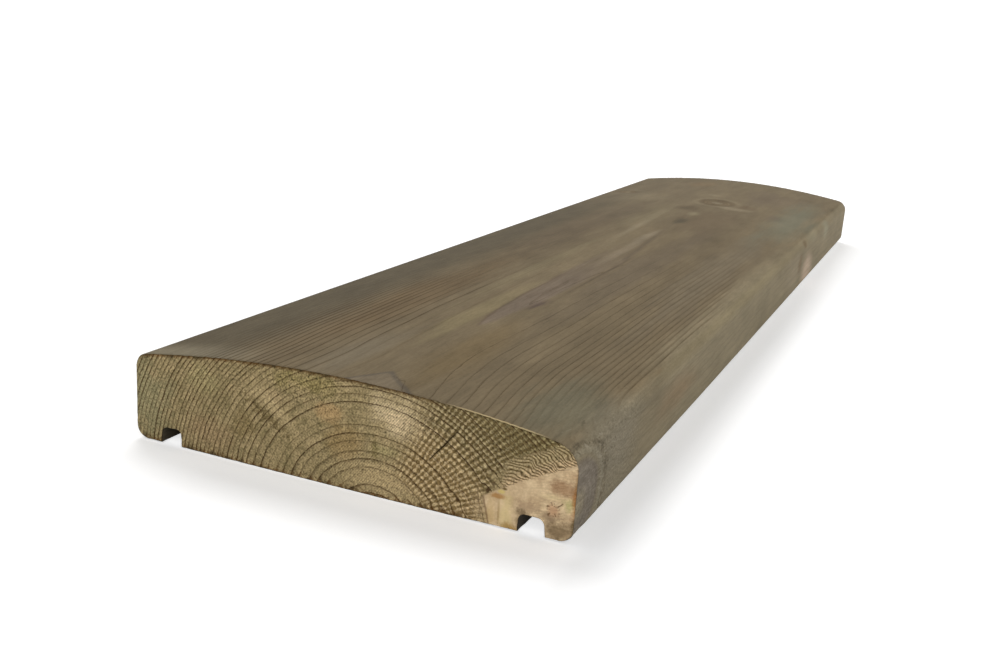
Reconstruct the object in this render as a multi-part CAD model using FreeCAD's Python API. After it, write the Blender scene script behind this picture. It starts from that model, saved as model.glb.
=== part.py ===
"""Crowned decking board: one length of planed, pressure-treated softwood.

The board is sawn and moulded from a single piece of timber. Its upper face is crowned so that rain
runs off, its four long arrises are rounded, and a drip groove runs along the underside near each edge.
Both ends are sawn square.

Frame: millimetres, +Z up. X runs across the width and Y along the length. The origin is on the
underside, midway between the edges and midway between the ends.
"""

import FreeCAD, Part
import math
import os

# Overall sizes
board_length = 450.0
board_width = 120.0
board_thickness = 28.0  # at the top of the crown, midway between the edges

# Crowned upper face
crown_radius = 330.0

# Rounded long arrises
top_arris_radius = 4.5
bottom_arris_radius = 4.0

# Drip grooves in the underside
groove_width = 6.0
groove_depth = 4.0
groove_roof_radius = 1.5  # where each groove wall turns into its roof
groove_lip_width = 7.5  # timber left between a groove and the nearer edge of the board

half_width = board_width / 2
half_length = board_length / 2
along = FreeCAD.Vector(0, board_length, 0)


def section_point(across, up):
    """A point of the cross-section, in the plane of the end at -Y."""
    return FreeCAD.Vector(across, -half_length, up)


def crown_height(across):
    """Height of the crowned upper face above the underside, at a distance across from the middle."""
    drop = crown_radius - math.sqrt(crown_radius**2 - across**2)
    return board_thickness - drop


def half_crown(start, end):
    """The arc of the crowned upper face between two distances across from the middle."""
    start_point, middle_point, end_point = (
        section_point(across, crown_height(across)) for across in (start, (start + end) / 2, end)
    )
    return Part.Arc(start_point, middle_point, end_point).toShape()


def blank():
    """The board before its arrises are rounded: flat underside, upright edges and crowned upper face."""
    shoulder = crown_height(half_width)
    left_foot = section_point(-half_width, 0)
    right_foot = section_point(half_width, 0)
    outline = Part.Wire(
        [
            Part.makeLine(left_foot, right_foot),
            Part.makeLine(right_foot, section_point(half_width, shoulder)),
            half_crown(half_width, 0),
            half_crown(0, -half_width),
            Part.makeLine(section_point(-half_width, shoulder), left_foot),
        ]
    )
    return Part.Face(outline).extrude(along)


def long_edges(shape, is_at):
    """The edges of a shape that run the whole length and whose section point passes is_at(x, z)."""
    found = []
    for edge in shape.Edges:
        first, last = (vertex.Point for vertex in edge.Vertexes)
        runs_along = math.isclose(abs(last.y - first.y), board_length, rel_tol=1e-6)
        if runs_along and is_at(first.x, first.z):
            found.append(edge)
    return found


def round_arrises(board):
    """Rounds the two upper long arrises, where the crown meets the edges, and the two lower ones."""
    middle_height = crown_height(half_width) / 2
    upper = long_edges(board, lambda x, z: z > middle_height and math.isclose(abs(x), half_width))
    board = board.makeFillet(top_arris_radius, upper)
    return board.makeFillet(bottom_arris_radius, long_edges(board, lambda x, z: z < middle_height))


def drip_groove_cutter(side):
    """The timber that one moulder knife removes: side is +1 for the groove near +X and -1 near -X."""
    outer_wall = side * (half_width - groove_lip_width)
    inner_wall = outer_wall - side * groove_width
    below = groove_depth  # the knife reaches this far clear of the underside
    low_corner = section_point(min(outer_wall, inner_wall), -below)
    cutter = Part.makeBox(groove_width, board_length, groove_depth + below, low_corner)
    roof_edges = long_edges(cutter, lambda x, z: z > groove_depth / 2)
    return cutter.makeFillet(groove_roof_radius, roof_edges)


def deck_board():
    board = round_arrises(blank())
    for side in (-1, 1):
        board = board.cut(drip_groove_cutter(side))
    return board.Solids[0]


def main():
    os.makedirs("parts", exist_ok=True)
    board = deck_board()
    board.exportStep("parts/deck_board.step")
    print("deck_board valid", board.isValid(), "volume in cubic cm", round(board.Volume / 1000, 1))


main()
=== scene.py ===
"""Looks of the crowned decking board: one sawn and moulded length of pressure-treated pine.

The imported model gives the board's place, length and width. The class Growth works out how the tree grew,
and both the relief of the board and the colours of its planed and sawn faces follow from it.
Lengths are millimetres, as on the part's drawing. "along" is measured from the near sawn end.
"""

import math

import bpy
import numpy as np
from mathutils import Matrix, Vector
from mathutils.geometry import delaunay_2d_cdt


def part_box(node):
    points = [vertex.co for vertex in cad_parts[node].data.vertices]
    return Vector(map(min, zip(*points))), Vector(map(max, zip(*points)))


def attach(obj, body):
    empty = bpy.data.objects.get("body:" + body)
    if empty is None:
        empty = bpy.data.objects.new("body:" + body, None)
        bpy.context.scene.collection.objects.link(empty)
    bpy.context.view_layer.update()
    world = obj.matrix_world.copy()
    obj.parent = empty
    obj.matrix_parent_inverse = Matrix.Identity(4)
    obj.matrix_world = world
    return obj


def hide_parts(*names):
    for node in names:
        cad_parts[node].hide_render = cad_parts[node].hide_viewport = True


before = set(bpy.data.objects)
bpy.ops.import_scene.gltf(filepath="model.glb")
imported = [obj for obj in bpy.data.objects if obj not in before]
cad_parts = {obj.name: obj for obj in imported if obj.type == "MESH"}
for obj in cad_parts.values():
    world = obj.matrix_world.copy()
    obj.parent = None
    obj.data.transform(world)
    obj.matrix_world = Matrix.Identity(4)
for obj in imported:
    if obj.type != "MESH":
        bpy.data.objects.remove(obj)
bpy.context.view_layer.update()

MM = 0.001  # metres

low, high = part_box("deck_board")
board_length = (high.y - low.y) / MM
half_width = (high.x - low.x) / 2 / MM
near_end = low.y / MM

# Section of the board as it has dried
dried_height = 27.75
crown_radius = 347.0
left_lift = 0.3  # the ends have cupped, so their edges stand this far off the floor
right_lift = 0.4
near_cup_ends = (20.0, 120.0)  # how far along the cup starts to die away, and where it has gone
far_cup_starts = 150.0
worn_corner_ends = 40.0
left_top_radius = 3.2
right_top_radius = 4.4
worn_corner_radius = 5.8  # of the right upper arris at the near end, where the knot has shrunk
left_foot_radius = 3.4
right_foot_radius = 3.5
groove_walls = ((-52.0, -51.7, -46.1, -46.1), (46.8, 46.8, 52.6, 53.1))  # mouth, roof, roof, mouth
groove_depth = 4.0
groove_roof_radius = 1.4
groove_mouth_radius = 0.3

# Fineness of the mesh
crown_step = 0.42
plain_step = 1.2
pieces_of_a_corner = 8
end_lattice_step = 0.5
fine_station_step = 1.0
fine_stretch = 24.0
station_step = 4.0
arris_wear = 0.15

# Drying check in the near end
check_foot = (23.9, 12.4)
check_tip = (30.6, 20.6)
check_gape = 0.26
check_depth = 2.0
check_wander = 0.05

# Growth of the tree
pith_across = 10.9
pith_height = -6.47
ring_flattening = 1.1  # rings are this much wider than they are high
lean_of_rings = 0.04  # rings are wider on the right of the pith
first_ring_offset = -0.43
growth_rates = ((0.0, 2.32), (25.0, 2.0), (37.0, 1.35), (47.0, 1.15))  # from this radius, rings this wide
hard_summers = (24.2, 32.6)  # radii of the two darkest rings
pith_wander = 2.4  # sideways, over the first stretch of the board
knot_waves = 0.55  # height of the ripples in the rings just outside a knot

# Marks of the saw and the planer
saw_pitch = 0.52  # between two scores of the saw's teeth
ray_spacing = (3.7, 2.6, 1.85)  # degrees between the rays, in the inner, middle and outer rings
cell_height = (1.75, 1.6, 1.3)  # of the pale cells between the rays there
crowded_pitch = 0.78  # between two of the rippled lines beside the corner knot
branch_heart = (54.7, 7.5)  # where the corner knot's heart has split
planed_ring_relief = 0.05
sawn_ring_relief = 0.07
fibre_relief = 0.05
saw_score = 0.05
knot_swell = 0.12
arris_chipping = 0.35


def paint(red, green, blue):
    """A linear colour from the red, green and blue a colour chart gives, 0 to 255."""
    def linear(value):
        value = value / 255
        return value / 12.92 if value <= 0.04045 else ((value + 0.055) / 1.055) ** 2.4

    return (linear(red), linear(green), linear(blue), 1.0)


# Sums written as nodes

class Measure:
    """A quantity that varies through the timber, worked out by the nodes of one tree."""

    def __init__(self, tree, socket):
        self.tree = tree
        self.socket = socket

    def sum(self, operation, *others):
        node = self.tree.nodes.new("ShaderNodeMath")
        node.operation = operation
        for slot, value in zip(node.inputs, (self,) + others):
            connect(self.tree, slot, value)
        return Measure(self.tree, node.outputs[0])

    def __add__(self, other):
        return self.sum("ADD", other)

    __radd__ = __add__

    def __mul__(self, other):
        return self.sum("MULTIPLY", other)

    def __sub__(self, other):
        return self.sum("SUBTRACT", other)

    def __rsub__(self, other):
        return (self * -1) + other

    def __truediv__(self, other):
        return self.sum("DIVIDE", other)

    def at_least(self, least):
        return self.sum("MAXIMUM", least)

    def at_most(self, most):
        return self.sum("MINIMUM", most)

    def size(self):
        return self.sum("ABSOLUTE")

    def root(self):
        return self.sum("SQRT")

    def part(self):
        return self.sum("FRACT")

    def whole(self):
        return self.sum("FLOOR")

    def sine(self):
        return self.sum("SINE")

    def decay(self, reach):
        """1 where the quantity is nothing, dying away with it."""
        return (self / -reach).sum("EXPONENT")

    def fade(self, none_at, full_at):
        """0 at none_at and 1 at full_at, with a smooth step between them."""
        node = self.tree.nodes.new("ShaderNodeMapRange")
        node.interpolation_type = "SMOOTHSTEP"
        connect(self.tree, node.inputs["Value"], self)
        node.inputs["From Min"].default_value = none_at
        node.inputs["From Max"].default_value = full_at
        return Measure(self.tree, node.outputs["Result"])


def connect(tree, slot, value):
    """Feeds a socket from a Measure, another socket or a plain number or colour."""
    if isinstance(value, Measure):
        value = value.socket
    if isinstance(value, bpy.types.NodeSocket):
        tree.links.new(value, slot)
    else:
        slot.default_value = value


def place(tree, across, along, up):
    """The vector of three measures."""
    node = tree.nodes.new("ShaderNodeCombineXYZ")
    for slot, value in zip(node.inputs, (across, along, up)):
        connect(tree, slot, value)
    return node.outputs[0]


def three_measures(tree, vector):
    """Across, along and up of a position in metres, each in millimetres; along starts at the near end."""
    node = tree.nodes.new("ShaderNodeSeparateXYZ")
    tree.links.new(vector, node.inputs[0])
    across, along, up = (Measure(tree, output) * (1 / MM) for output in node.outputs)
    return across, along - near_end, up


def cloud(tree, vector, scale=1.0, detail=2.0, roughness=0.5):
    """Smooth unevenness about nought, most of it between -0.3 and 0.3."""
    node = tree.nodes.new("ShaderNodeTexNoise")
    tree.links.new(vector, node.inputs["Vector"])
    node.inputs["Scale"].default_value = scale
    node.inputs["Detail"].default_value = detail
    node.inputs["Roughness"].default_value = roughness
    return Measure(tree, node.outputs[0]) - 0.5


def chance(tree, number):
    """A fixed random value from 0 to 1 for each whole number."""
    node = tree.nodes.new("ShaderNodeTexWhiteNoise")
    node.noise_dimensions = "1D"
    connect(tree, node.inputs["W"], number)
    return Measure(tree, node.outputs["Value"])


def blend(tree, amount, first, second):
    """A colour that goes from the first to the second with the amount."""
    node = tree.nodes.new("ShaderNodeMix")
    node.data_type = "RGBA"
    connect(tree, node.inputs["Factor"], amount)
    connect(tree, node.inputs[6], first)
    connect(tree, node.inputs[7], second)
    return node.outputs[2]


def toned(tree, colour, brightness):
    """A colour made darker or lighter by a factor about 1."""
    node = tree.nodes.new("ShaderNodeVectorMath")
    node.operation = "SCALE"
    connect(tree, node.inputs[0], colour)
    connect(tree, node.inputs["Scale"], brightness)
    return node.outputs[0]


# The timber's growth

class Knot:
    """A branch inside the timber: a cone from the pith to where its own pith leaves the board."""

    def __init__(self, root, exit_point, spread, stretch, bends, heartwood, bark):
        self.root = Vector(root)
        run = Vector(exit_point) - self.root
        self.direction = Vector((run.x, run.y / stretch, run.z)).normalized()
        self.stretch = stretch  # its section is this much longer along the board
        self.spread = spread  # radius gained for each millimetre along the branch
        self.near_bend, self.far_bend = bends  # how far the rings beside it and further off are drawn out
        self.heartwood = heartwood  # its darker and its paler colour where it is planed
        self.bark = bark  # how strongly its dark rim shows


grey_heartwood = (paint(104, 95, 85), paint(122, 114, 102))
brown_heartwood = (paint(98, 83, 62), paint(118, 104, 80))
corner_knot = Knot((10.9, -11.0, -6.47), (56.0, 0.0, 8.0), 0.172, 1.35, (3.8, 1.2), grey_heartwood, 0.12)
crown_knot = Knot((10.9, 338.0, -6.47), (7.5, 352.0, 27.7), 0.22, 1.15, (6.0, 3.0), brown_heartwood, 0.3)
left_knot = Knot((10.9, 338.0, -6.47), (-46.0, 372.0, 24.6), 0.05, 1.3, (2.0, 2.0), brown_heartwood, 0.14)
knots = (corner_knot, crown_knot, left_knot)


def beside_knot(knot, across, along, up):
    """How far out along the branch a place is, how far from its pith, and how far outside its bark."""
    offset = (across - knot.root.x, (along - knot.root.y) * (1 / knot.stretch), up - knot.root.z)
    reach = sum_of(part * share for part, share in zip(offset, knot.direction))
    square = sum_of(part * part for part in offset)
    from_heart = (square - reach * reach).at_least(0.0).root()
    return reach, from_heart, from_heart - reach * knot.spread


def sum_of(terms):
    terms = list(terms)
    total = terms[0]
    for term in terms[1:]:
        total = total + term
    return total


class Growth:
    """What the tree's growth says of each place in the board."""

    def __init__(self, tree, across, along, up):
        self.across, self.along, self.up = across, along, up
        stretched = place(tree, across, along * 0.05, up)
        dip = along.fade(-6, 22) * (along.fade(85, 35) * 0.45 + along.fade(220, 60) * 0.3)
        wander = along.fade(-10, 45) * along.fade(260, 100) * pith_wander
        sideways = across - pith_across + wander
        upwards = (up - pith_height - (0.15 - dip)) * ring_flattening
        self.angle = upwards.sum("ARCTAN2", sideways)
        radius = (sideways * sideways + upwards * upwards).root() + sideways * lean_of_rings
        radius = radius + cloud(tree, place(tree, across, along * 0.012, up), 0.08) * 0.9
        radius = radius + cloud(tree, stretched, 0.35) * 0.35
        ripple = cloud(tree, place(tree, across, along, up), 0.3, 1.0) * 9.0
        self.knots = {}
        for knot in knots:
            reach, from_heart, outside = beside_knot(knot, across, along, up)
            clear = outside.at_least(0.0)
            grown = (reach * 0.02).at_least(0.0)
            bend = clear.decay(18.0) * knot.far_bend + clear.decay(4.5) * knot.near_bend
            waves = (reach * 2.3 + ripple).sine() * clear.decay(4.0) * knot_waves
            radius = radius - bend * grown * grown + waves
            self.knots[knot] = (reach, from_heart, outside)
        self.outside_corner_knot = self.knots[corner_knot][2]
        self.radius = radius
        years = radius * (1 / growth_rates[0][1]) + first_ring_offset
        for (start, width), (_, width_before) in zip(growth_rates[1:], growth_rates):
            years = years + (radius - start).at_least(0.0) * (1 / width - 1 / width_before)
        years = years + cloud(tree, place(tree, radius, 0.0, 0.0), 0.3) * 0.8
        self.year = years.whole()
        self.season = years.part()
        above_pith = (self.angle - math.pi / 2).size().fade(0.5, 0.15)
        hard = sum_of((radius - summer).size().fade(1.2, 0.9) for summer in hard_summers)
        hard = hard * (1 - above_pith * 0.6)
        young = radius.fade(40.0, 30.0)
        self.strength = (chance(tree, self.year) * 0.6 + 0.45 - young * 0.3 + hard * 0.6).at_most(1.1)
        width = growth_rates[0][1] + sum_of(
            radius.fade(start - 2, start + 2) * (after - before)
            for (start, after), (_, before) in zip(growth_rates[1:], growth_rates)
        )
        self.ring_width = width
        self.to_line = (1 - self.season) * width

    def degrees(self):
        """The angle about the pith, from 0 on its right to 90 above it."""
        return self.angle * (180 / math.pi)


# The board's shape

def rounded(corners):
    """A closed outline through corners (across, up, radius), finest on the crowned face."""
    outline = []
    count = len(corners)
    for index, (across, up, radius) in enumerate(corners):
        corner = np.array((across, up))
        following = np.array(corners[(index + 1) % count][:2])
        before = np.array(corners[index - 1][:2]) - corner
        after = following - corner
        run = np.linalg.norm(after)
        before, after = before / np.linalg.norm(before), after / run
        centre = corner + (before + after) * radius
        for piece in range(pieces_of_a_corner + 1):
            turn = math.pi / 2 * piece / pieces_of_a_corner
            outline.append(centre - after * radius * math.cos(turn) - before * radius * math.sin(turn))
        start = outline[-1]
        stop = following - after * corners[(index + 1) % count][2]
        pieces = round(run / (crown_step if up > groove_depth < following[1] else plain_step))
        outline += [start + (stop - start) * piece / pieces for piece in range(1, pieces)]
    return np.array(outline)


def crown_height(across):
    return dried_height - across**2 / (2 * crown_radius)


def smooth_step(value, none_at, full_at):
    """0 at none_at and 1 at full_at, with a smooth step between them."""
    share = min(max((value - none_at) / (full_at - none_at), 0), 1)
    return share * share * (3 - 2 * share)


def board_outline(along):
    """The dried section at a distance along the board, anticlockwise as seen from the near end."""
    shoulder = crown_height(half_width)
    cupped = 1 - smooth_step(along, *near_cup_ends) * smooth_step(along, board_length, far_cup_starts)
    near_corner = smooth_step(along, worn_corner_ends, 0)
    corners = [(-half_width, 0, left_foot_radius)]
    for left_mouth, left_roof, right_roof, right_mouth in groove_walls:
        corners += [
            (left_mouth, 0, groove_mouth_radius),
            (left_roof, groove_depth, groove_roof_radius),
            (right_roof, groove_depth, groove_roof_radius),
            (right_mouth, 0, groove_mouth_radius),
        ]
    corners += [
        (half_width, 0, right_foot_radius),
        (half_width, shoulder, right_top_radius + (worn_corner_radius - right_top_radius) * near_corner),
        (-half_width, shoulder, left_top_radius),
    ]
    outline = rounded(corners)
    across, up = outline[:, 0], outline[:, 1]
    share = up / shoulder
    lift = np.where(across < 0, left_lift, right_lift) * cupped * (across / half_width) ** 2
    return np.stack([across, up + (1 - share) * lift + share * (crown_height(across) - shoulder)], 1)


def stations():
    """Distances along the board at which its outline is repeated."""
    fine = np.arange(fine_station_step, fine_stretch, fine_station_step)
    coarse = np.arange(fine_stretch, board_length - station_step / 2, station_step)
    return np.concatenate([[0, arris_wear], fine, coarse, [board_length - arris_wear, board_length]])


def inset(outline, distance):
    """The outline moved inwards."""
    tangent = np.roll(outline, -1, 0) - np.roll(outline, 1, 0)
    tangent /= np.linalg.norm(tangent, axis=1)[:, None]
    return outline + np.stack([-tangent[:, 1], tangent[:, 0]], 1) * distance


def inside(points, outline):
    """Which points lie inside the outline, by counting how often it passes above them."""
    crossings = np.zeros(len(points), int)
    for (ax, az), (bx, bz) in zip(outline, np.roll(outline, -1, 0)):
        spans = (ax > points[:, 0]) != (bx > points[:, 0])
        run = bx - ax if bx != ax else 1.0
        height = az + (points[:, 0] - ax) / run * (bz - az)
        crossings += spans & (height > points[:, 1])
    return crossings % 2 == 1


def end_lattice(outline):
    """Points that fill a sawn end evenly, clear of its outline."""
    row_step = end_lattice_step * math.sqrt(3) / 2
    rows = np.arange(row_step, dried_height, row_step)
    columns = np.arange(-half_width, half_width, end_lattice_step)
    lattice = np.array([
        (across + end_lattice_step / 2 * (index % 2), up)
        for index, up in enumerate(rows) for across in columns
    ])
    return clear_of(outline, lattice[inside(lattice, outline)], end_lattice_step * 0.65)


def clear_of(line, points, distance):
    """The points that keep a distance from each point of a line."""
    clear = np.ones(len(points), bool)
    for across, up in line:
        clear &= np.hypot(points[:, 0] - across, points[:, 1] - up) > distance
    return points[clear]


def check_lines():
    """The two lips and the bottom of the drying check, as three lines of points."""
    foot, tip = np.array(check_foot), np.array(check_tip)
    direction = (tip - foot) / np.linalg.norm(tip - foot)
    sideways = np.array((-direction[1], direction[0]))
    count = round(np.linalg.norm(tip - foot) / end_lattice_step)
    shares = np.linspace(0, 1, count + 1)
    middle = foot + np.outer(shares, tip - foot)
    middle += np.outer(check_wander * np.sin(shares * 9.0), sideways)
    gape = check_gape / 2 * np.sqrt(np.sin(np.pi * shares.clip(0.02, 0.98)))
    return middle + gape[:, None] * sideways, middle - gape[:, None] * sideways, middle, shares


def sawn_end(outline, with_check):
    """Points, depths and triangles that fill a sawn end; the first points are the outline's."""
    count = len(outline)
    edges = [(index, (index + 1) % count) for index in range(count)]
    lattice = end_lattice(outline)
    lines = []
    if with_check:
        left_lip, right_lip, bottom, shares = check_lines()
        lattice = clear_of(bottom, lattice, end_lattice_step * 0.7)
        lines = [(left_lip, 0.0), (right_lip, 0.0), (bottom, check_depth)]
    groups = [outline, lattice]
    depths = [np.zeros(count + len(lattice))]
    for line, depth in lines:
        start = sum(len(group) for group in groups)
        edges += [(start + index, start + index + 1) for index in range(len(line) - 1)]
        groups.append(line)
        depths.append(depth * np.sin(np.pi * shares) ** 0.5)
    points = np.concatenate(groups)
    _, _, triangles, sources, _, _ = delaunay_2d_cdt([Vector(point) for point in points], edges, [], 1, 1e-5)
    index = [source[0] if source else None for source in sources]
    triangles = [tuple(index[corner] for corner in triangle) for triangle in triangles]
    return points, np.concatenate(depths), triangles


def board_mesh():
    """The board as one closed mesh: its outline swept the whole length and a filled end at each side."""
    distances = stations()
    rings = [board_outline(distance) for distance in distances]
    rings[0], rings[-1] = inset(rings[0], arris_wear), inset(rings[-1], arris_wear)
    count = len(rings[0])
    vertices = [
        np.column_stack([ring[:, 0], np.full(count, near_end + distance), ring[:, 1]])
        for ring, distance in zip(rings, distances)
    ]
    faces = []
    for station in range(len(distances) - 1):
        for index in range(count):
            following = (index + 1) % count
            here, beyond = station * count, (station + 1) * count
            faces.append((here + index, here + following, beyond + following, beyond + index))
    long_faces = len(faces)
    total = count * len(distances)
    for first, ring, y, outwards, with_check in (
        (0, rings[0], near_end, -1, True),
        (total - count, rings[-1], near_end + board_length, 1, False),
    ):
        points, depths, triangles = sawn_end(ring, with_check)
        extra = points[count:]
        place_y = y - outwards * depths[count:]
        start = sum(len(group) for group in vertices)
        vertices.append(np.column_stack([extra[:, 0], place_y, extra[:, 1]]))
        index = [first + i if i < count else start + i - count for i in range(len(points))]
        for triangle in triangles:
            corners = tuple(index[corner] for corner in triangle)
            faces.append(corners if outwards < 0 else corners[::-1])
    mesh = bpy.data.meshes.new("deck_board_timber")
    mesh.from_pydata((np.concatenate(vertices) * MM).tolist(), [], faces)
    sawn = mesh.attributes.new("sawn", "BOOLEAN", "FACE")
    sawn.data.foreach_set("value", [index >= long_faces for index in range(len(mesh.polygons))])
    return mesh


# Relief

def relief_tree(planed_face, sawn_face):
    """Geometry Nodes that raise the late wood, sink the early wood and score the sawn ends."""
    tree = bpy.data.node_groups.new("timber_relief", "GeometryNodeTree")
    tree.interface.new_socket("Board", in_out="INPUT", socket_type="NodeSocketGeometry")
    for name, value in (
        ("Planed ring relief", planed_ring_relief),
        ("Sawn ring relief", sawn_ring_relief),
        ("Fibre relief", fibre_relief),
        ("Saw score", saw_score),
        ("Knot swell", knot_swell),
        ("Arris chipping", arris_chipping),
    ):
        socket = tree.interface.new_socket(name, in_out="INPUT", socket_type="NodeSocketFloat")
        socket.default_value = value * MM
    tree.interface.new_socket("Board", in_out="OUTPUT", socket_type="NodeSocketGeometry")
    sizes = tree.nodes.new("NodeGroupInput")
    result = tree.nodes.new("NodeGroupOutput")

    def given(name):
        return Measure(tree, sizes.outputs[name])

    position = tree.nodes.new("GeometryNodeInputPosition").outputs[0]
    normal = tree.nodes.new("GeometryNodeInputNormal").outputs[0]
    across, along, up = three_measures(tree, position)
    growth = Growth(tree, across, along, up)
    facing = tree.nodes.new("ShaderNodeSeparateXYZ")
    tree.links.new(normal, facing.inputs[0])
    on_end = Measure(tree, facing.outputs[1]).size().fade(0.6, 0.9)
    late = growth.to_line.fade(0.8, 0.0) * growth.strength
    fibre = cloud(tree, place(tree, across, along * 0.04, up), 0.9, 3.0)
    score = saw_lines(growth).sine()
    crumbled = (cloud(tree, place(tree, across, along, up), 0.8, 4.0) + 0.05).at_least(0.0)
    from_end = (along - board_length / 2).size() * -1 + board_length / 2
    ragged = from_end.fade(1.2, 0.0) * crumbled
    on_knot = sum_of(outside.fade(0.8, -0.8) for _, _, outside in growth.knots.values())
    planed = late * given("Planed ring relief") + fibre * given("Fibre relief")
    planed = planed + on_knot * given("Knot swell")
    sawn = late * given("Sawn ring relief") + score * given("Saw score")
    height = planed * (1 - on_end) + sawn * on_end - ragged * given("Arris chipping") * (1 - on_end)
    offset = tree.nodes.new("ShaderNodeVectorMath")
    offset.operation = "SCALE"
    tree.links.new(normal, offset.inputs[0])
    connect(tree, offset.inputs["Scale"], height)
    raised = tree.nodes.new("GeometryNodeSetPosition")
    tree.links.new(sizes.outputs["Board"], raised.inputs["Geometry"])
    tree.links.new(offset.outputs[0], raised.inputs["Offset"])
    finish(tree, raised.outputs[0], result.inputs[0], planed_face, sawn_face)
    return tree


def finish(tree, geometry, output, planed_face, sawn_face):
    """Realizes what a tree made and gives it its finishes."""
    whole = tree.nodes.new("GeometryNodeRealizeInstances")
    tree.links.new(geometry, whole.inputs[0])
    stage = whole
    for material in (planed_face, sawn_face):
        before, stage = stage, tree.nodes.new("GeometryNodeSetMaterial")
        stage.inputs["Material"].default_value = material
        tree.links.new(before.outputs[0], stage.inputs["Geometry"])
    chosen = tree.nodes.new("GeometryNodeInputNamedAttribute")
    chosen.data_type = "BOOLEAN"
    chosen.inputs["Name"].default_value = "sawn"
    tree.links.new(chosen.outputs["Attribute"], stage.inputs["Selection"])
    tree.links.new(stage.outputs[0], output)


def saw_lines(growth):
    """Phase of the slanting lines that the saw's teeth left on an end."""
    return (growth.across * 0.78 - growth.up * 0.62) * (2 * math.pi / saw_pitch)


def made_plain(name, mesh, tree):
    """The mesh that a Geometry Nodes tree makes of another, as a new object."""
    carrier = bpy.data.objects.new(name + "_carrier", mesh)
    bpy.context.scene.collection.objects.link(carrier)
    modifier = carrier.modifiers.new("shape", "NODES")
    modifier.node_group = tree
    graph = bpy.context.evaluated_depsgraph_get()
    shaped = bpy.data.meshes.new_from_object(carrier.evaluated_get(graph), depsgraph=graph)
    carrier.modifiers.clear()
    bpy.data.objects.remove(carrier)
    shaped.name = name
    piece = bpy.data.objects.new(name, shaped)
    bpy.context.scene.collection.objects.link(piece)
    return piece


# Finishes

def new_finish(name):
    """An empty material with its surface shader and the place of each point in millimetres."""
    material = bpy.data.materials.new(name)
    material.use_nodes = True
    tree = material.node_tree
    shader = tree.nodes["Principled BSDF"]
    position = tree.nodes.new("ShaderNodeTexCoord").outputs["Object"]
    return material, tree, shader, three_measures(tree, position)


def bumped(tree, shader, height, depth):
    """Gives a shader a fine relief whose height is a share of the depth in millimetres."""
    bump = tree.nodes.new("ShaderNodeBump")
    bump.inputs["Distance"].default_value = depth * MM
    bump.inputs["Strength"].default_value = 1.0
    connect(tree, bump.inputs["Height"], height)
    tree.links.new(bump.outputs[0], shader.inputs["Normal"])


def patch(places, centre, spread, unevenness=0.0):
    """1 at the centre of a soft-edged oval and 0 beyond its spread, by two measures of a place."""
    offsets = [(measure - middle) * (1 / reach) for measure, middle, reach in zip(places, centre, spread)]
    distance = sum_of(offset * offset for offset in offsets).root() + unevenness
    return distance.fade(1.0, 0.2)


def tinted(tree, colour, tints):
    """Lays other colours over a colour, each by an amount and a strength."""
    for amount, strength, tint in tints:
        colour = blend(tree, amount * strength, colour, tint)
    return colour


def stained(tree, colour, places, unevenness, stains, share=None):
    """Lays soft-edged stains over a colour, each with its centre, spread, strength and colour.

    A stain's last number, where it has one, is how far it leans sideways for each millimetre along.
    """
    for centre, spread, strength, tint, *lean in stains:
        first, second = places
        if lean:
            first = first + second * lean[0]
        amount = patch((first, second), centre, spread, unevenness)
        if share is not None:
            amount = amount * share
        colour = blend(tree, amount * strength, colour, tint)
    return colour


def weave(growth, grain):
    """Where the rays and rings on the right of the near end leave pale cells in a dark net."""
    tree = growth.across.tree
    degrees = growth.degrees()
    zone = degrees.fade(84.0, 62.0) * growth.radius.fade(12.0, 18.0)
    beside_root = growth.across.fade(42.0, 38.0)
    zone = zone * growth.outside_corner_knot.fade(2.4, 4.4).at_least(beside_root)
    pale_root = patch((growth.across, growth.up), (38.6, 4.0), (4.5, 7.0), grain * 2.0)
    zone = zone * (1 - pale_root * 0.55)
    wander = cloud(tree, place(tree, growth.across, 0.0, growth.up), 0.3, 2.0)
    inner, outer = growth.radius.fade(26.0, 23.0), growth.radius.fade(35.0, 38.0)
    shares = (inner, 1 - inner - outer, outer)
    across_rays = sum_of(
        (degrees * (2 * math.pi / spacing) + wander * 5.0).sine() * share
        for spacing, share in zip(ray_spacing, shares)
    )
    along_rays = sum_of(
        (growth.radius * (2 * math.pi / height) + wander * 6.0).sine() * share
        for height, share in zip(cell_height, shares)
    )
    cells = (across_rays * 0.55 + along_rays * 0.45 + grain * 1.8).fade(-0.4, 0.8)
    return cells, zone


def wavy_lines(growth, unevenness):
    """Crowded, rippled ring lines just outside the knot, and how near the knot a place is."""
    across, up = growth.across, growth.up
    wander = cloud(across.tree, place(across.tree, across, 0.0, up), 0.28, 1.0)
    clear = growth.outside_corner_knot.at_least(0.0)
    beyond_bend = (across - 48.5 + wander * 3.0).at_least(0.0)
    along_lines = up * 0.95 + across * 0.06 + beyond_bend * 0.4
    ripples = ((across * 0.74 - up * 0.67) * (2 * math.pi / 3.6) + wander * 6.0).sine()
    phase = along_lines * (1 / crowded_pitch) + ripples * clear.fade(6.0, 1.0) * 0.2 + wander * 3.0
    lines = (phase.part() - 0.5).size().fade(0.12, 0.42)
    near = (clear + unevenness * 2.5).fade(6.0, 4.4) * across.fade(41.0, 44.0)
    return lines, near


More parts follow.
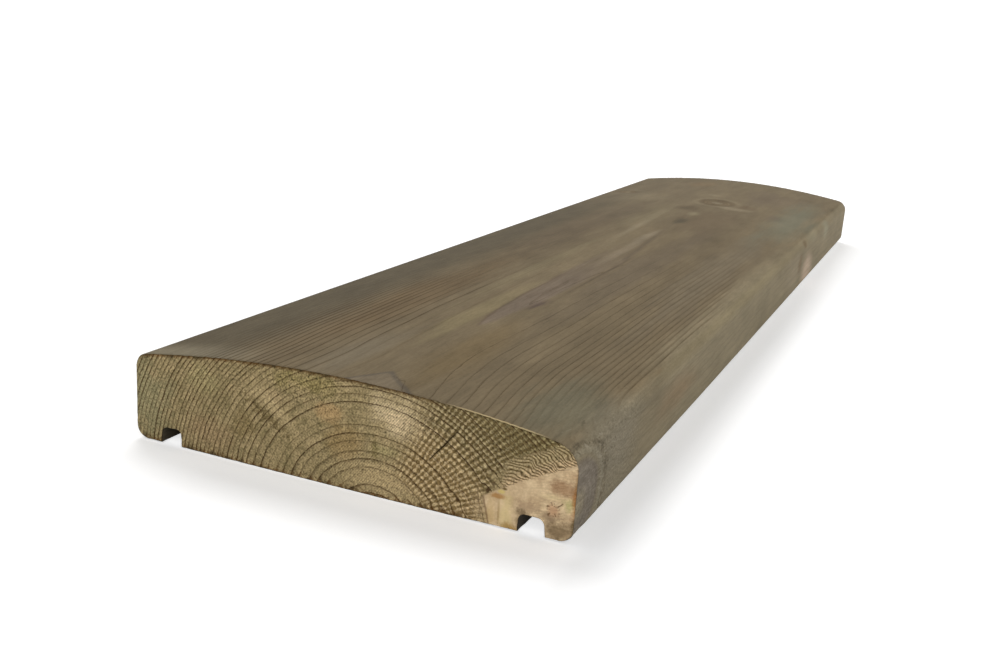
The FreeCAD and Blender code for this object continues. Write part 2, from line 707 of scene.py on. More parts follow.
# Each stain: its centre, how far it spreads, its strength and its colour
end_stains = (
    # Dry wood under the crown, paler and browner than the rest
    ((16.0, 20.0), (6.0, 2.4), 0.5, paint(210, 186, 148)),
    ((-3.0, 18.5), (5.0, 3.0), 0.6, paint(178, 146, 102)),
    ((-19.0, 19.0), (4.5, 3.0), 0.6, paint(172, 150, 112)),
    # Olive dust along the crown, and blotches down the left
    ((-9.0, 24.5), (15.0, 4.0), 0.5, paint(128, 116, 68)),
    ((-40.0, 20.0), (7.0, 5.0), 0.5, paint(166, 152, 108)),
    ((-27.0, 10.0), (5.0, 6.0), 0.5, paint(124, 106, 68)),
    ((-38.0, 6.0), (10.0, 6.0), 0.4, paint(156, 128, 96)),
    # Above the pith
    ((2.0, 12.0), (7.0, 6.0), 0.5, paint(148, 122, 80)),
    ((12.0, 12.0), (6.0, 2.5), 0.5, paint(164, 152, 106)),
    ((14.0, 5.0), (18.0, 7.0), 0.65, paint(186, 163, 121)),
    # Pale foot beside the knot's root, and the greenish left edge
    ((35.5, 3.0), (3.5, 7.0), 0.8, paint(200, 174, 134)),
    ((-56.0, 12.0), (10.0, 12.0), 0.6, paint(140, 134, 100)),
)


def rays(tree, wood, growth, coarse, mottle, share):
    """The one pale and the two dark rays that stand out, by the angle about the pith and the radius."""
    places = (growth.degrees(), growth.radius)
    for unevenness, ray in (
        (coarse * 1.8, ((138.8, 37.0), (3.4, 12.0), 0.75, paint(184, 163, 121))),
        (coarse * 4.5 + mottle, ((144.5, 36.5), (3.0, 10.0), 0.55, paint(84, 69, 38))),
        (coarse * 2.0, ((93.0, 20.0), (4.0, 5.0), 0.5, paint(104, 92, 52))),
    ):
        wood = stained(tree, wood, places, unevenness, (ray,), share)
    return wood


def burnt_arrises(growth, coarse, mottle):
    """How burnt and grimy a sawn end is: just under the crown, but not on its right, and along its foot."""
    across, up = growth.across, growth.up
    above_foot = up - across * across * (right_lift / half_width**2)
    below_crown = dried_height - across * across * (1 / (2 * crown_radius)) - up
    crumbs = coarse * 2.2 + mottle * 1.6
    along_crown = (below_crown + crumbs).fade(1.3, 0.2) * across.fade(34.0, 14.0)
    along_foot = (above_foot + crumbs * 1.7 + growth.season.fade(0.95, 0.5) * 0.8).fade(2.2, 0.4)
    return along_crown.at_least(along_foot * across.fade(38.0, 30.0))


def sawn_finish():
    """End grain: rings, rays and saw marks, yellowish where it is dry and dark along the arrises."""
    material, tree, shader, (across, along, up) = new_finish("sawn_end_grain")
    growth = Growth(tree, across, along, up)
    at_near_end = along.fade(board_length * 0.6, board_length * 0.4)
    flat = place(tree, across, at_near_end * -40.0, up)  # the two ends differ in all that follows from it
    degrees = growth.degrees()
    outside = growth.outside_corner_knot
    blotches = cloud(tree, flat, 0.13, 3.0)
    mottle = cloud(tree, flat, 0.45, 3.0, 0.6)
    coarse = cloud(tree, flat, 1.1, 3.0, 0.65)
    fine = cloud(tree, flat, 1.9, 1.0, 0.6)
    spokes = cloud(tree, place(tree, degrees * 0.55, 0.0, growth.radius * 0.16), 1.0, 3.0, 0.65)
    bands = cloud(tree, place(tree, degrees * 0.035, 0.0, growth.radius * 0.8), 1.0, 3.0, 0.6)
    cells, woven = weave(growth, coarse)
    crowded, near_knot = wavy_lines(growth, mottle)
    uneven = blotches * 1.4 + mottle * 0.8
    dry = patch((across, up), (17.0, 21.0), (12.0, 8.0), uneven) * at_near_end
    bright = blotches * 1.3 + mottle * 1.5 + bands * 0.8 + 0.5
    wood = blend(tree, bright, paint(124, 111, 77), paint(164, 145, 107))
    wood = blend(tree, dry * 0.9, wood, paint(202, 181, 142))
    wood = stained(tree, wood, (across, up), uneven, end_stains, at_near_end)
    wood = rays(tree, wood, growth, coarse, mottle, at_near_end)
    net_age = mottle * 2.0 + growth.radius.fade(24.0, 38.0)
    net = blend(tree, net_age, paint(116, 95, 60), paint(94, 80, 50))
    cell_age = mottle * 2.4 + growth.radius.fade(24.0, 40.0)
    pale_cell = blend(tree, cell_age, paint(194, 170, 129), paint(166, 150, 113))
    pale_cell = blend(tree, growth.radius.fade(38.0, 47.0) * 0.8, pale_cell, paint(136, 124, 86))
    net = blend(tree, (cells + spokes * 0.6).at_least(0.0).at_most(1.0), net, pale_cell)
    wood = blend(tree, woven * 0.92, wood, net)
    pale_ground = blend(tree, outside.fade(3.5, 0.5), paint(170, 152, 114), paint(194, 168, 130))
    wood = blend(tree, near_knot * 0.95, wood, pale_ground)
    wood = blend(tree, near_knot * crowded * (coarse * 1.5 + 0.85).at_most(1.0), wood, paint(82, 66, 40))
    dotted = (spokes * 3.8 + coarse * 2.6 + mottle * 1.2 + 0.88).at_least(0.05).at_most(1.4)
    width = growth.ring_width * 0.05 + 0.42
    line = ((growth.to_line + coarse * 0.45) / width).fade(1.0, 0.35) * growth.strength * dotted
    shadow = (growth.to_line / growth.ring_width).fade(0.75, 0.0) * growth.strength
    dusty = patch((across, up), (-9.0, 24.0), (17.0, 6.0), uneven)
    quiet = 1 - near_knot * 0.9 - dusty * 0.45
    wood = toned(tree, wood, 1 - shadow * quiet * (0.22 - woven * 0.14))
    colour = blend(tree, (line * quiet).at_most(0.9), wood, paint(64, 46, 28))
    beads = spokes.fade(0.14, 0.3) * (1 - dry) * (1 - woven) * 0.3
    colour = blend(tree, beads, colour, paint(84, 70, 40))
    saw_bite = dry * 0.22 + patch((across, up), (9.0, 7.0), (20.0, 9.0)) * 0.12 + 0.07
    hatch = saw_lines(growth).sine() * saw_bite * (mottle * 1.6 + 0.8).at_least(0.2) * outside.fade(0.0, 0.4)
    lively = dusty * 0.5 + 0.8
    rough = coarse * 0.95 + mottle * 0.45 + fine * lively * 2.5 + spokes * 0.65 + hatch
    colour = toned(tree, colour, 1 + rough)
    glints = fine.fade(0.2, 0.36) * lively * (1 - woven)
    colour = blend(tree, glints * 0.4, colour, paint(186, 172, 108))
    warmth = blend(tree, mottle * 3.0 + 0.4, paint(54, 40, 22), paint(112, 72, 28))
    colour = blend(tree, burnt_arrises(growth, coarse, mottle) * 0.75, colour, warmth)
    # Painted shade in the drying check.
    colour = blend(tree, check_shade_line(growth, coarse), colour, paint(44, 34, 22))
    colour = knot_wood(tree, colour, growth, flat)
    connect(tree, shader.inputs["Base Color"], colour)
    shader.inputs["Roughness"].default_value = 0.85
    shader.inputs["Specular IOR Level"].default_value = 0.04
    bumped(tree, shader, line * -0.3 + fine * 0.8 + coarse * 0.5 + hatch * 2, 0.12)
    return material


def check_shade_line(growth, raggedness):
    """1 along the lips of the drying check, where painted shade darkens the crack; the dark line goes on
    past both of its tips.
    """
    foot, tip = Vector(check_foot), Vector(check_tip)
    run = (tip - foot).length
    direction = (tip - foot) / run
    along_check = (growth.across - foot.x) * direction.x + (growth.up - foot.y) * direction.y
    beside_check = (growth.up - foot.y) * direction.x - (growth.across - foot.x) * direction.y
    span = along_check.fade(-1.5, 2.0) * along_check.fade(run + 2.0, run - 2.5) * growth.along.fade(4.0, 3.0)
    return (beside_check + raggedness * 0.25).size().fade(0.18, 0.04) * span * 0.85


branch_stains = (
    # Sapwood beside the root, from cream to resin
    ((43.5, 3.5), (2.6, 7.0), 0.8, paint(214, 192, 142)),
    ((39.8, 3.0), (2.2, 6.0), 0.7, paint(200, 172, 124)),
    ((44.5, 0.4), (3.5, 1.8), 0.8, paint(160, 126, 66)),
    # Darker patches above the groove
    ((48.5, 6.5), (4.5, 1.8), 0.6, paint(158, 132, 104)),
    ((47.5, 3.5), (2.4, 3.0), 0.55, paint(140, 118, 86)),
    ((47.4, 5.2), (2.2, 1.5), 0.75, paint(106, 88, 64)),
    # Heart
    ((57.0, 12.8), (5.0, 2.8), 0.85, paint(154, 122, 90)),
    ((58.5, 16.0), (3.0, 2.6), 0.6, paint(168, 138, 104)),
    ((54.0, 10.4), (4.0, 1.0), 0.8, paint(206, 184, 142)),
    ((58.3, 9.2), (2.4, 2.4), 0.85, paint(174, 164, 112)),
    ((56.5, 2.4), (6.5, 4.0), 0.9, paint(130, 110, 82)),
    ((53.5, 5.6), (3.5, 1.6), 0.6, paint(146, 124, 98)),
    ((54.6, 7.4), (2.2, 1.8), 0.65, paint(184, 142, 108)),
    # Bark on the right
    ((60.2, 9.5), (2.0, 5.0), 0.85, paint(158, 102, 48)),
    ((60.0, 15.5), (1.0, 5.0), 0.6, paint(128, 96, 52)),
    ((59.9, 4.5), (1.2, 3.0), 0.7, paint(94, 80, 52)),
    # Root
    ((41.5, 7.6), (2.2, 0.9), 0.85, paint(168, 126, 76)),
    ((42.2, 8.9), (1.3, 0.6), 0.8, paint(204, 184, 112)),
    ((43.0, 9.7), (1.0, 0.5), 0.9, paint(96, 78, 44)),
)


def knot_wood(tree, colour, growth, flat):
    """The branch cut through at the near end's right corner: creamy, with split heart and resinous root."""
    across, up = growth.across, growth.up
    outside = growth.outside_corner_knot
    streaks = cloud(tree, place(tree, across * 0.22 + up * 0.06, 0.0, up - across * 0.2), 2.2, 4.0, 0.65)
    cloudy = cloud(tree, flat, 0.3, 3.0, 0.6)
    speckle = cloud(tree, flat, 1.6, 3.0, 0.7)
    fringe = cloud(tree, flat, 0.9, 3.0) * 1.5
    branch = blend(tree, cloudy * 2.0 + speckle * 0.8 + 0.5, paint(178, 151, 117), paint(212, 188, 150))
    branch = stained(tree, branch, (across, up), cloudy * 1.4 + speckle * 0.5, branch_stains)
    root_seam = ((41.8, 3.6), (0.45, 4.5), 0.55, paint(152, 124, 74))
    branch = stained(tree, branch, (across, up), speckle * 0.4, (root_seam,))
    streaky = streaks * (across.fade(46.0, 53.0) * 0.85 + 0.25)
    branch = toned(tree, branch, 1 + streaky + speckle * 0.3 + cloudy * 0.28)
    branch = blend(tree, heart_splits(tree, across, up, cloudy, speckle) * 0.78, branch, paint(96, 72, 48))
    edge = (outside + fringe).size().fade(0.3, 0.05) * across.fade(42.0, 38.5)
    inside_bark = (outside + fringe * across.fade(40.0, 43.0)).fade(0.35, -0.15)
    inside_bark = inside_bark * (across + up * 0.22 + fringe * 1.1).fade(38.4, 40.2)
    root_line = (across + up * 0.24 - 39.55 + speckle * 0.25).size().fade(0.34, 0.08) * up.fade(8.0, 6.0)
    second_line = (across + up * 0.2 - 37.9 + speckle * 0.3).size().fade(0.3, 0.08) * up.fade(9.5, 7.0)
    colour = blend(tree, second_line * 0.4, colour, paint(84, 64, 46))
    colour = blend(tree, inside_bark, colour, branch)
    rim = root_line.at_least(edge * 0.4) * 0.5 * growth.along.fade(20.0, 10.0)
    return blend(tree, rim, colour, paint(92, 66, 48))


def heart_splits(tree, across, up, cloudy, speckle):
    """The star of small splits at the branch's heart, with one long arm."""
    beside, above = across - branch_heart[0], up - branch_heart[1]
    from_heart = (beside * beside + above * above).root()
    turn = above.sum("ARCTAN2", beside)
    arms = cloud(tree, place(tree, turn * 2.4, 0.0, from_heart * 0.8), 1.0, 2.0, 0.6).fade(0.0, 0.12)
    star = arms * (from_heart - 1.25 + cloudy * 2.0).size().fade(0.8, 0.2)
    long_arm = (above - beside * 0.85 + speckle * 0.5).size().fade(0.32, 0.1)
    return star.at_least(long_arm * beside.fade(0.7, 1.1) * beside.fade(2.5, 1.9))


def tongue(across, along, wander):
    """The grey-purple tongue of summer wood on the crown, and the dark line along its left side."""
    beyond = along - 60.0
    left = across + wander - (2.2 + beyond.at_least(0.0).decay(22.0) * 5.2)
    right = 13.4 - beyond.at_least(0.0).decay(38.0) * 6.0 - across + wander
    started = beyond.fade(-1.0, 6.0) * along.fade(215.0, 105.0)
    body = left.fade(-0.5, 0.9) * right.fade(-0.8, 1.6) * started
    rim = (left - 0.3).size().fade(0.9, 0.1) * started * along.fade(175.0, 120.0)
    return body, rim


def lines_shown(growth, on_side):
    """How clearly the ring lines show on the planed faces, from place to place."""
    across, along = growth.across, growth.along
    near = (along - across * 1.19).fade(223.0, 83.0) * 0.72 + 0.02
    worn_corner = patch((across, along), (56.0, 16.0), (22.0, 40.0))
    right = (across + along.fade(70.0, 100.0) * 4.0).fade(9.0, 16.0) * near * (1 - worn_corner * 0.85)
    right = right * (across + (along - 110.0).at_least(0.0) * 0.08).fade(60.5, 57.0)
    left = across.fade(-6.0, -14.0) * across.fade(-46.0, -34.0) * along.fade(150.0, 60.0)
    middle = across.fade(-16.0, -8.0) * across.fade(17.0, 8.0) * along.fade(200.0, 100.0) * 0.25
    return (right + left + middle).at_most(1.0) * (1 - on_side) + on_side * 0.12 + 0.04


def planed_finish():
    """Planed face: ring lines along the board, fine fibres and the grey-brown of treated timber."""
    material, tree, shader, (across, along, up) = new_finish("planed_face")
    growth = Growth(tree, across, along, up)
    fibres = cloud(tree, place(tree, across, along * 0.035, up), 2.2, 4.0, 0.7)
    dashes = cloud(tree, place(tree, across, along * 0.09, up), 1.5, 3.0, 0.6)
    pores = cloud(tree, place(tree, across, along * 0.45, up), 2.0, 3.0, 0.7)
    broad = cloud(tree, place(tree, across, along * 0.1, up), 0.06, 3.0)
    drifts = cloud(tree, place(tree, across, along * 0.12, up), 0.22, 3.0, 0.6)
    clouds = cloud(tree, place(tree, across, along * 0.35, up), 0.12, 3.0, 0.55)
    uneven = broad * 1.2 + drifts * 0.9
    on_side = up.fade(24.2, 22.6) * across.size().fade(half_width - 3, half_width - 1)
    slope = (across - pith_across).size() / growth.radius
    meeting = (slope * (1 - on_side) + on_side * 0.6).at_least(0.08)
    shown = lines_shown(growth, on_side)
    line = ((growth.to_line + dashes * 0.1) / (meeting * 0.68 + 0.04)).fade(1.0, 0.1)
    line = line * (growth.strength * 0.5 + 0.45) * (dashes * 2.4 + 1.0).at_least(0.2)
    wood = blend(tree, broad * 1.4 + drifts * 1.2 + 0.5, paint(104, 92, 72), paint(121, 107, 83))
    wood = face_stains(tree, wood, growth, uneven, fibres, drifts)
    wood = far_stains(tree, wood, growth, uneven)
    wood = edge_stains(tree, wood, growth, uneven, on_side)
    wood = crest_mark(tree, wood, across, along, drifts)
    colour = blend(tree, (line * shown * 0.84).at_most(0.9), wood, paint(68, 54, 36))
    colour = knots_on_face(tree, colour, growth, drifts)
    # Painted highlight along the near end's right arris.
    colour = blend(tree, painted_arris_highlight(across, along, up, dashes), colour, paint(206, 184, 138))
    # Painted shade: the groove's walls and roof darkened where shade falls in the recess.
    groove_shade = up.fade(groove_depth + 1.2, groove_depth + 0.9) * across.size().fade(44.5, 45.5)
    colour = blend(tree, groove_shade * across.size().fade(54.0, 53.5) * 0.75, colour, paint(50, 45, 36))
    bruised = patch((across, along), (60.0, 22.0), (12.0, 34.0)) + on_side * along.fade(60.0, 20.0)
    bruised = bruised.at_most(1.0)
    fibrous = fibres * 0.55 + dashes * 0.4 + pores * (bruised * on_side * 0.8 + 0.45)
    fibrous = fibrous * (1 - along.fade(100.0, 280.0) * 0.6 + across.fade(50.0, 56.0) * 0.15)
    worn = fibrous + clouds * 0.5 + drifts * across.fade(46.0, 56.0) * 0.4
    colour = toned(tree, colour, 1 + worn + lightness(growth, on_side))
    colour = scuffed(tree, colour, growth, bruised)
    colour = blend(tree, dashes.fade(0.18, 0.32) * 0.3, colour, paint(72, 60, 42))
    connect(tree, shader.inputs["Base Color"], colour)
    shader.inputs["Roughness"].default_value = 0.6
    shader.inputs["Specular IOR Level"].default_value = 0.012
    bumped(tree, shader, line * shown * 0.3 + fibres * 0.7 + pores * 0.3, 0.07)
    return material


def lightness(growth, on_side):
    """How much lighter the planed wood is than its colour, over broad parts of the faces: painted light on
    both edge faces, painted shade over the left of the crowned face, and darker and paler patches.
    """
    across, along = growth.across, growth.along
    # Painted shade: the left slope of the crown darkened as if turned away from the light.
    left_painted_shade = across.fade(0.0, -40.0) * along.fade(450.0, 250.0) * 0.06
    darker = patch((across, along), (-5.0, 260.0), (60.0, 230.0)) * 0.07
    darker = darker + patch((across, along), (-24.0, 165.0), (20.0, 80.0)) * 0.07
    darker = darker - patch((across, along), (-42.0, 340.0), (10.0, 26.0)) * 0.09
    darker = darker + along.fade(370.0, 425.0) * (across.fade(20.0, -40.0) * 0.08 + 0.05)
    # Painted light: the edge faces made lighter than the crowned face, as light falls on them.
    return on_side * 0.14 - left_painted_shade - darker * (1 - on_side)


def scuffed(tree, colour, growth, bruised):
    """Slanting scratches, dark and pale, on the shrunken arris beside the corner knot."""
    across, along, up = growth.across, growth.along, growth.up
    outside = growth.outside_corner_knot
    slant = place(tree, across * 0.6, (along - up * 0.3) * 0.22, up + along * 0.3)
    scratches = cloud(tree, slant, 0.8, 2.0, 0.6) * outside.fade(-1.5, 1.0) * outside.fade(28.0, 6.0)
    colour = blend(tree, scratches.fade(0.13, 0.2) * bruised * 0.6, colour, paint(80, 72, 58))
    return blend(tree, scratches.fade(-0.13, -0.22) * bruised * 0.5, colour, paint(156, 148, 129))


def face_stains(tree, wood, growth, uneven, fibres, drifts):
    """Tints of the crowned face: greener on the left, brown and pale streaks along it, and the tongue."""
    across, along = growth.across, growth.along
    face = (across, along)
    wood = tinted(tree, wood, (
        (along.fade(180.0, 440.0), 0.4, paint(123, 111, 89)),
        (across.fade(-26.0, -44.0) * along.fade(460.0, 240.0), 0.85, paint(88, 80, 64)),
    ))
    wood = stained(tree, wood, face, uneven, (
        # Brown on the left
        ((-24.0, 90.0), (13.0, 110.0), 0.75, paint(106, 89, 65)),
        ((-25.0, 240.0), (16.0, 110.0), 0.75, paint(104, 91, 72)),
        # Pale streaks in line with the tongue, and a dark one on their right
        ((6.8, 195.0), (3.4, 46.0), 0.75, paint(138, 124, 102)),
        ((6.3, 255.0), (3.4, 85.0), 0.75, paint(138, 126, 102), 0.045),
        ((25.0, 205.0), (2.2, 80.0), 0.75, paint(101, 89, 73), 0.07),
        # Grey at the near end, and a pale streak further along
        ((-8.0, 20.0), (7.0, 40.0), 0.7, paint(115, 105, 87)),
        ((-8.5, 150.0), (4.0, 100.0), 0.7, paint(126, 114, 88)),
    ))
    pale_streak = ((0.6, 86.0), (4.4, 50.0), 0.65, paint(134, 121, 90))
    wood = stained(tree, wood, face, uneven * 1.3 + fibres, (pale_streak,))
    wood = stained(tree, wood, face, uneven, (
        # Broad bands, from the middle to the right
        ((-1.0, 190.0), (9.0, 110.0), 0.7, paint(127, 113, 88)),
        ((15.0, 40.0), (8.0, 44.0), 0.7, paint(112, 96, 69)),
        ((20.0, 170.0), (11.0, 120.0), 0.6, paint(108, 96, 79)),
        ((44.0, 190.0), (9.0, 130.0), 0.3, paint(124, 115, 98)),
        # Darker and paler parts of the streaks
        ((2.8, 165.0), (2.2, 60.0), 0.6, paint(115, 102, 82)),
        ((5.5, 232.0), (3.0, 30.0), 0.7, paint(141, 128, 106)),
        # Olive over the corner knot
        ((50.0, 20.0), (13.0, 32.0), 0.7, paint(106, 102, 84)),
    ))
    # Painted light: the crowned face's right arris made paler where it turns towards the light.
    lit_right_arris = across.fade(50.0, 58.0) * along.fade(45.0, 95.0) * along.fade(330.0, 200.0)
    wood = blend(tree, lit_right_arris * 0.7, wood, paint(137, 126, 102))
    wood = stained(tree, wood, face, drifts * 2, (
        # Dark lines on the tongue's right side
        ((11.4, 96.0), (2.4, 12.0), 0.75, paint(84, 70, 64)),
        ((13.6, 150.0), (0.9, 60.0), 0.6, paint(88, 75, 61)),
    ))
    purple, purple_rim = tongue(across, along, drifts * 3.0)
    wood = tinted(tree, wood, (
        (purple, 0.6, paint(114, 101, 90)),
        (purple_rim, 0.6, paint(90, 75, 62)),
        (along.fade(15.0, 2.0) * across.fade(-18.0, -40.0), 0.8, paint(127, 118, 98)),
    ))
    grey_corner = ((59.0, 24.0), (6.5, 38.0), 0.75, paint(113, 107, 91))
    return stained(tree, wood, face, uneven * 0.5, (grey_corner,))


def far_stains(tree, wood, growth, uneven):
    """Pale and brown swirls of the grain round the second whorl of branches."""
    across, along = growth.across, growth.along
    wood = stained(tree, wood, (across, along), uneven, (
        # Towards the left
        ((-10.0, 285.0), (12.0, 60.0), 0.5, paint(128, 116, 90)),
        ((-24.0, 295.0), (13.0, 46.0), 0.7, paint(106, 94, 75)),
        ((-30.0, 350.0), (14.0, 25.0), 0.5, paint(132, 120, 96)),
        # Before the knot on the crown
        ((14.0, 290.0), (16.0, 46.0), 0.7, paint(108, 94, 74)),
        ((-1.0, 323.0), (6.5, 12.0), 0.85, paint(94, 82, 64)),
        ((6.6, 307.0), (3.6, 9.0), 0.7, paint(138, 127, 100)),
        ((6.8, 282.0), (4.0, 14.0), 0.85, paint(88, 80, 64)),
    ))
    band_middle = 16.0
    bent = along - (across - band_middle).size() * 0.35
    pale_band = ((band_middle, 340.0), (13.0, 7.0), 0.75, paint(141, 128, 104))
    wood = stained(tree, wood, (across, bent), uneven, (pale_band,))
    return stained(tree, wood, (across, along), uneven, (
        # Beyond that knot, and on its right
        ((0.0, 378.0), (8.0, 7.0), 0.6, paint(138, 126, 100)),
        ((21.0, 352.0), (8.0, 9.0), 0.6, paint(106, 90, 70)),
        ((39.0, 338.0), (8.0, 16.0), 0.65, paint(104, 90, 74)),
        ((28.0, 395.0), (20.0, 40.0), 0.7, paint(113, 100, 82)),
        # Grey along the right arris
        ((48.0, 340.0), (17.0, 80.0), 0.75, paint(114, 112, 94)),
        # Brown at the far end
        ((-16.0, 420.0), (10.0, 18.0), 0.5, paint(130, 111, 84)),
    ))


def edge_stains(tree, wood, growth, uneven, on_side):
    """Tints of the right edge: cool near the knot, warm beyond it and yellow along the arris."""
    along, up = growth.along, growth.up
    on_right = on_side * growth.across.fade(0.0, 1.0)
    # The edge faces' own tone with painted light: both are made paler than the crowned face, as light falls
    # on them.
    wood = blend(tree, on_side * 0.7, wood, paint(126, 116, 94))
    cool_corner = ((26.0, 16.0), (30.0, 18.0), 0.8, paint(120, 112, 95))
    wood = stained(tree, wood, (along, up), uneven * 0.6, (cool_corner,), on_right)
    wood = stained(tree, wood, (along, up), uneven, (
        # Beyond the corner knot
        ((85.0, 13.0), (34.0, 8.0), 0.7, paint(124, 106, 82)),
        ((67.0, 22.6), (11.0, 1.5), 0.7, paint(112, 86, 54)),
    ), on_right)
    wood = tinted(tree, wood, (
        (up.fade(18.0, 21.5) * along.fade(55.0, 85.0) * on_right, 0.55, paint(134, 122, 94)),
        (along.fade(180.0, 420.0) * on_right, 0.7, paint(136, 125, 102)),
    ))
    return stained(tree, wood, (along, up), uneven, (
        # Swirl of the second whorl
        ((280.0, 12.0), (26.0, 11.0), 0.7, paint(142, 130, 108)),
        ((296.0, 13.5), (9.0, 6.0), 0.8, paint(118, 102, 80)),
        ((318.0, 8.0), (22.0, 11.0), 0.95, paint(172, 153, 132)),
        ((308.0, 20.5), (7.0, 3.0), 0.7, paint(108, 90, 68)),
        ((330.0, 21.0), (18.0, 4.0), 0.6, paint(144, 136, 112)),
        ((374.0, 18.0), (13.0, 9.0), 0.6, paint(144, 140, 118)),
    ), on_right)


def crest_mark(tree, wood, across, along, wander):
    """The blunt grey tip that one ring's summer wood shows where it leaves the near end."""
    offset = across - 7.5 + wander * 2.0
    slant = along + offset.at_least(0.0) * 1.0 + (offset * -1).at_least(0.0) * 1.7
    inner = slant.fade(10.8, 8.6)
    rim = (slant - 10.2).size().fade(1.9, 0.2)
    wood = blend(tree, inner * 0.28, wood, paint(128, 117, 103))
    return blend(tree, rim * 0.55, wood, paint(84, 78, 71))


def painted_arris_highlight(across, along, up, raggedness):
    """A painted highlight on the thin arris above the near end, on the right, where it catches the light."""
    highlit = (along + raggedness * 0.8).fade(0.5, 0.2) * up.fade(20.0, 21.0)
    return highlit * across.fade(25.0, 35.0) * across.fade(54.0, 46.0) * 0.65


def knots_on_face(tree, colour, growth, drifts):
    """Heartwood of the branches where the planer has cut across them."""
    for knot, (reach, from_heart, outside) in growth.knots.items():
        cut = reach.fade(5.0, 10.0)
        rings = (from_heart * 3.4 + drifts * 7.0).sine() * 0.09
        middle = (from_heart / (reach * knot.spread + 0.1)).fade(0.5, 0.15)
        heartwood = blend(tree, drifts * 2.0 + 0.5, *knot.heartwood)
        heartwood = toned(tree, blend(tree, middle * 0.6, heartwood, paint(140, 130, 106)), 1 + rings)
        halo = (outside + drifts * 3.5 - 3.2).size().fade(2.4, 0.4) * cut * knot.bark * 0.9
        bark = (outside + drifts * 2.4 - 0.1).size().fade(2.2, 0.2) * cut * knot.bark
        colour = blend(tree, halo, colour, paint(138, 126, 100))
        colour = blend(tree, (outside + drifts * 1.6).fade(0.7, -0.6) * cut * 0.85, colour, heartwood)
        colour = blend(tree, bark, colour, paint(80, 66, 50))
    reach, _, outside = growth.knots[corner_knot]
    specks = cloud(tree, place(tree, growth.across, growth.along * 0.7, growth.up), 0.9, 3.0, 0.7)
    specks = (specks * 5.0 + 0.5).at_least(0.0).at_most(1.0)
    torn = (outside + drifts * 3.0 - 3.6).size().fade(2.0, 0.2) * specks
    pale = (outside + drifts * 2.0 - 1.9).size().fade(1.3, 0.2)
    near = reach.fade(40.0, 50.0)
    colour = blend(tree, pale * near * 0.35, colour, paint(134, 127, 109))
    return blend(tree, torn * near * 0.65, colour, paint(76, 68, 55))


# Studio

camera_offset = (128.64, -216.03, 110.24)  # from the middle of the near end's foot
camera_turn = 22.50
camera_tilt = 15.58
camera_roll = 4.03
camera_lens = 40.57
sensor_width = 36.0
sky_light = 0.6
seen_sky = 1.05
lamps = (  # where it comes from, strength and spread in degrees
    ("high_lamp", (-0.42, 0.67, 1.0), 1.2, 30.0),
    ("front_lamp", (0.45, -1.0, 0.40), 1.2, 80.0),
)
floor_size = 12.0
floor_shade = 0.80
seen_floor_shade = 0.83
floor_glow = 0.235
# Painted light under the board, lifting the floor's shadow seen through the grooves
footprint_painted_light = 0.42


def add_camera():
    turn, tilt, roll = (math.radians(angle) for angle in (camera_turn, camera_tilt, camera_roll))
    back = Vector((
        math.sin(turn) * math.cos(tilt),
        -math.cos(turn) * math.cos(tilt),
        math.sin(tilt),
    ))
    level = Vector((math.cos(turn), math.sin(turn), 0))
    upright = back.cross(level)
    right = level * math.cos(roll) + upright * math.sin(roll)
    up = upright * math.cos(roll) - level * math.sin(roll)
    data = bpy.data.cameras.new("camera")
    data.sensor_width = sensor_width
    data.sensor_fit = "HORIZONTAL"
    data.lens = camera_lens
    data.clip_start = 0.01
    camera = bpy.data.objects.new("camera", data)
    bpy.context.scene.collection.objects.link(camera)
    spot = Vector(camera_offset) + Vector((0, near_end, 0))
    turned = Matrix((right, up, back)).transposed().to_4x4()
    camera.matrix_world = Matrix.Translation(spot * MM) @ turned
    bpy.context.scene.camera = camera


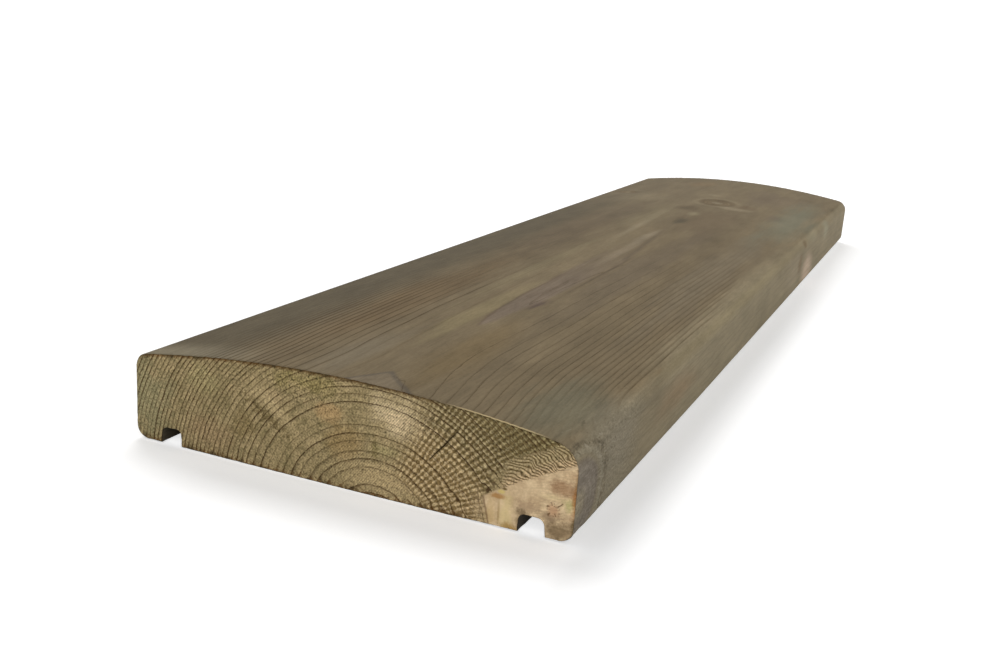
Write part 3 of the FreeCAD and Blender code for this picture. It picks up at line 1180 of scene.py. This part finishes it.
def add_floor():
    half = floor_size / 2
    corners = [(-half, -half, 0), (half, -half, 0), (half, half, 0), (-half, half, 0)]
    mesh = bpy.data.meshes.new("studio_floor")
    mesh.from_pydata(corners, [], [(0, 1, 2, 3)])
    floor = bpy.data.objects.new("studio_floor", mesh)
    bpy.context.scene.collection.objects.link(floor)
    material = bpy.data.materials.new("studio_floor_white")
    material.use_nodes = True
    tree = material.node_tree
    shader = tree.nodes["Principled BSDF"]
    shader.inputs["Roughness"].default_value = 0.9
    shader.inputs["Specular IOR Level"].default_value = 0.0
    seen = seen_by_camera(tree)
    shade = seen * (seen_floor_shade - floor_shade) + floor_shade
    connect(tree, shader.inputs["Base Color"], place(tree, shade, shade, shade))
    shader.inputs["Emission Color"].default_value = (1, 1, 1, 1)
    across, along, _ = three_measures(tree, tree.nodes.new("ShaderNodeTexCoord").outputs["Object"])
    half_length = board_length / 2
    under_board = across.size().fade(half_width + 1, half_width - 5)
    under_board = under_board * (along - half_length).size().fade(half_length + 2, half_length - 3)
    beside = across - half_width
    before = along * -1
    beside_shade = beside.fade(1.0, 7.0) * beside.fade(17.0, 9.0) * along.fade(-20.0, -2.0)
    before_shade = before.fade(2.0, 12.0) * before.fade(28.0, 15.0) * across.fade(-50.0, -25.0)
    # Painted shadow on the floor: bands beside and before the board made darker for the camera.
    painted_shadow = beside_shade * along.fade(430.0, 200.0) * 0.1 + before_shade * across.fade(75.0, 60.0) * 0.07
    # Painted light: the shadow lifted at the board's foot, and more beside it towards the far end.
    painted_shadow_lift = beside.fade(14.0, 0.0) * along.fade(150.0, 420.0) * 0.08 + beside.fade(4.0, 0.0) * 0.05
    # The floor's even glow, with the painted light and painted shadow laid over it.
    glow_with_painted_shadow = under_board * footprint_painted_light + floor_glow - painted_shadow + painted_shadow_lift
    connect(tree, shader.inputs["Emission Strength"], seen * glow_with_painted_shadow)
    mesh.materials.append(material)


def seen_by_camera(tree):
    """1 for what the camera sees, straight or by a reflection, and 0 for what only lights the board."""
    path = tree.nodes.new("ShaderNodeLightPath")
    seen = Measure(tree, path.outputs["Is Camera Ray"])
    for kind in ("Is Glossy Ray", "Is Transmission Ray"):
        seen = seen.sum("MAXIMUM", Measure(tree, path.outputs[kind]))
    return seen


def add_lights():
    world = bpy.data.worlds.new("studio")
    world.use_nodes = True
    tree = world.node_tree
    background = tree.nodes["Background"]
    background.inputs["Color"].default_value = (1, 1, 1, 1)
    connect(tree, background.inputs["Strength"], seen_by_camera(tree) * (seen_sky - sky_light) + sky_light)
    bpy.context.scene.world = world
    for name, comes_from, strength, spread in lamps:
        light = bpy.data.lights.new(name, "SUN")
        light.energy = strength
        light.angle = math.radians(spread)
        lamp = bpy.data.objects.new(name, light)
        lamp.matrix_world = Vector(comes_from).to_track_quat("Z", "Y").to_matrix().to_4x4()
        bpy.context.scene.collection.objects.link(lamp)


def add_board():
    planed_face, sawn_face = planed_finish(), sawn_finish()
    tree = relief_tree(planed_face, sawn_face)
    board = made_plain("timber_board", board_mesh(), tree)
    for polygon in board.data.polygons:
        polygon.use_smooth = True
    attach(board, "root")
    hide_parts("deck_board")


add_camera()
add_floor()
add_lights()
add_board()

bpy.context.scene.view_settings.view_transform = "Standard"
